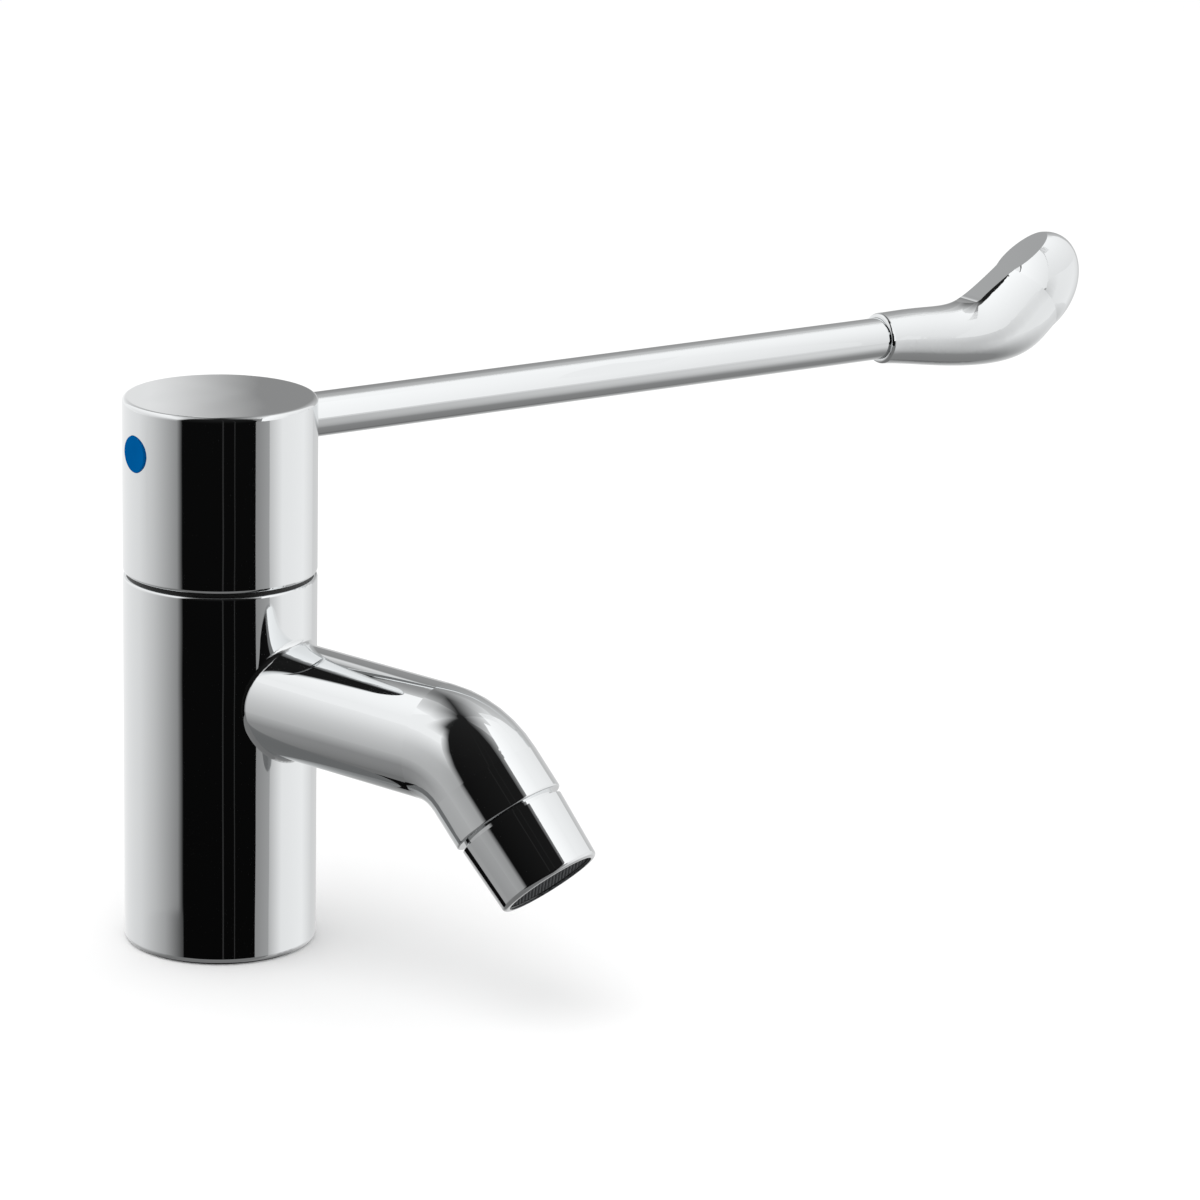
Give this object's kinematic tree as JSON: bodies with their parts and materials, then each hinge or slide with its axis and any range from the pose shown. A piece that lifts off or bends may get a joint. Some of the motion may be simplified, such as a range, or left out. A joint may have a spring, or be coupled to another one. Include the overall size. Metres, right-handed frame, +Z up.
{
  "type": "elbow lever tap",
  "caption": "Single cold pillar tap for a basin: upright cylindrical body with a bent spout, and a long lever with a paddle end for the forearm that turns a quarter turn.",
  "frame": {"origin": "centre of the body's base, on top of the deck or basin ledge that it stands on", "axes": "+Z up along the tap's axis, spout towards -Y, lever at rest 69.7 degrees round from the spout towards +X"},
  "size_m": [0.25, 0.121, 0.1909],
  "materials": {
    "chrome": "polished chrome plate on brass",
    "brass": "turned, bright",
    "rubber": "moulded, matt",
    "steel": "stainless, plain",
    "ceramic": "lapped alumina",
    "fibre": "pressed vulcanised fibre",
    "black_plastic": "moulded",
    "white_plastic": "moulded acetal",
    "blue_plastic": "moulded, domed"
  },
  "bodies": {
    "tap": {"tap_body": "chrome", "inlet_shank": "brass", "base_gasket": "rubber", "rubber_washer": "rubber", "clamp_washer": "steel", "backnut": "brass", "headwork_body": "brass", "fibre_washer": "fibre", "lip_seal": "rubber", "fixed_disc": "ceramic", "glide_ring": "black_plastic", "aerator_shell": "chrome", "aerator_seal": "rubber", "aerator_insert": "black_plastic", "aerator_mesh": "steel"},
    "handle": {"handle_cap": "chrome", "spline_insert": "white_plastic", "grub_screw": "steel", "index_plug": "blue_plastic", "lever_rod": "chrome", "lever_paddle": "chrome", "spindle": "brass", "spindle_o_rings": "rubber", "spindle_clip": "steel", "slide_washer": "white_plastic", "turning_disc": "ceramic"}
  },
  "joints": [
    {"name": "handle_turn", "type": "hinge", "parent": "tap", "child": "handle", "pos_m": [0, 0, 0.1], "axis": [0, 0, 1], "range_deg": [-90, 0]}
  ]
}
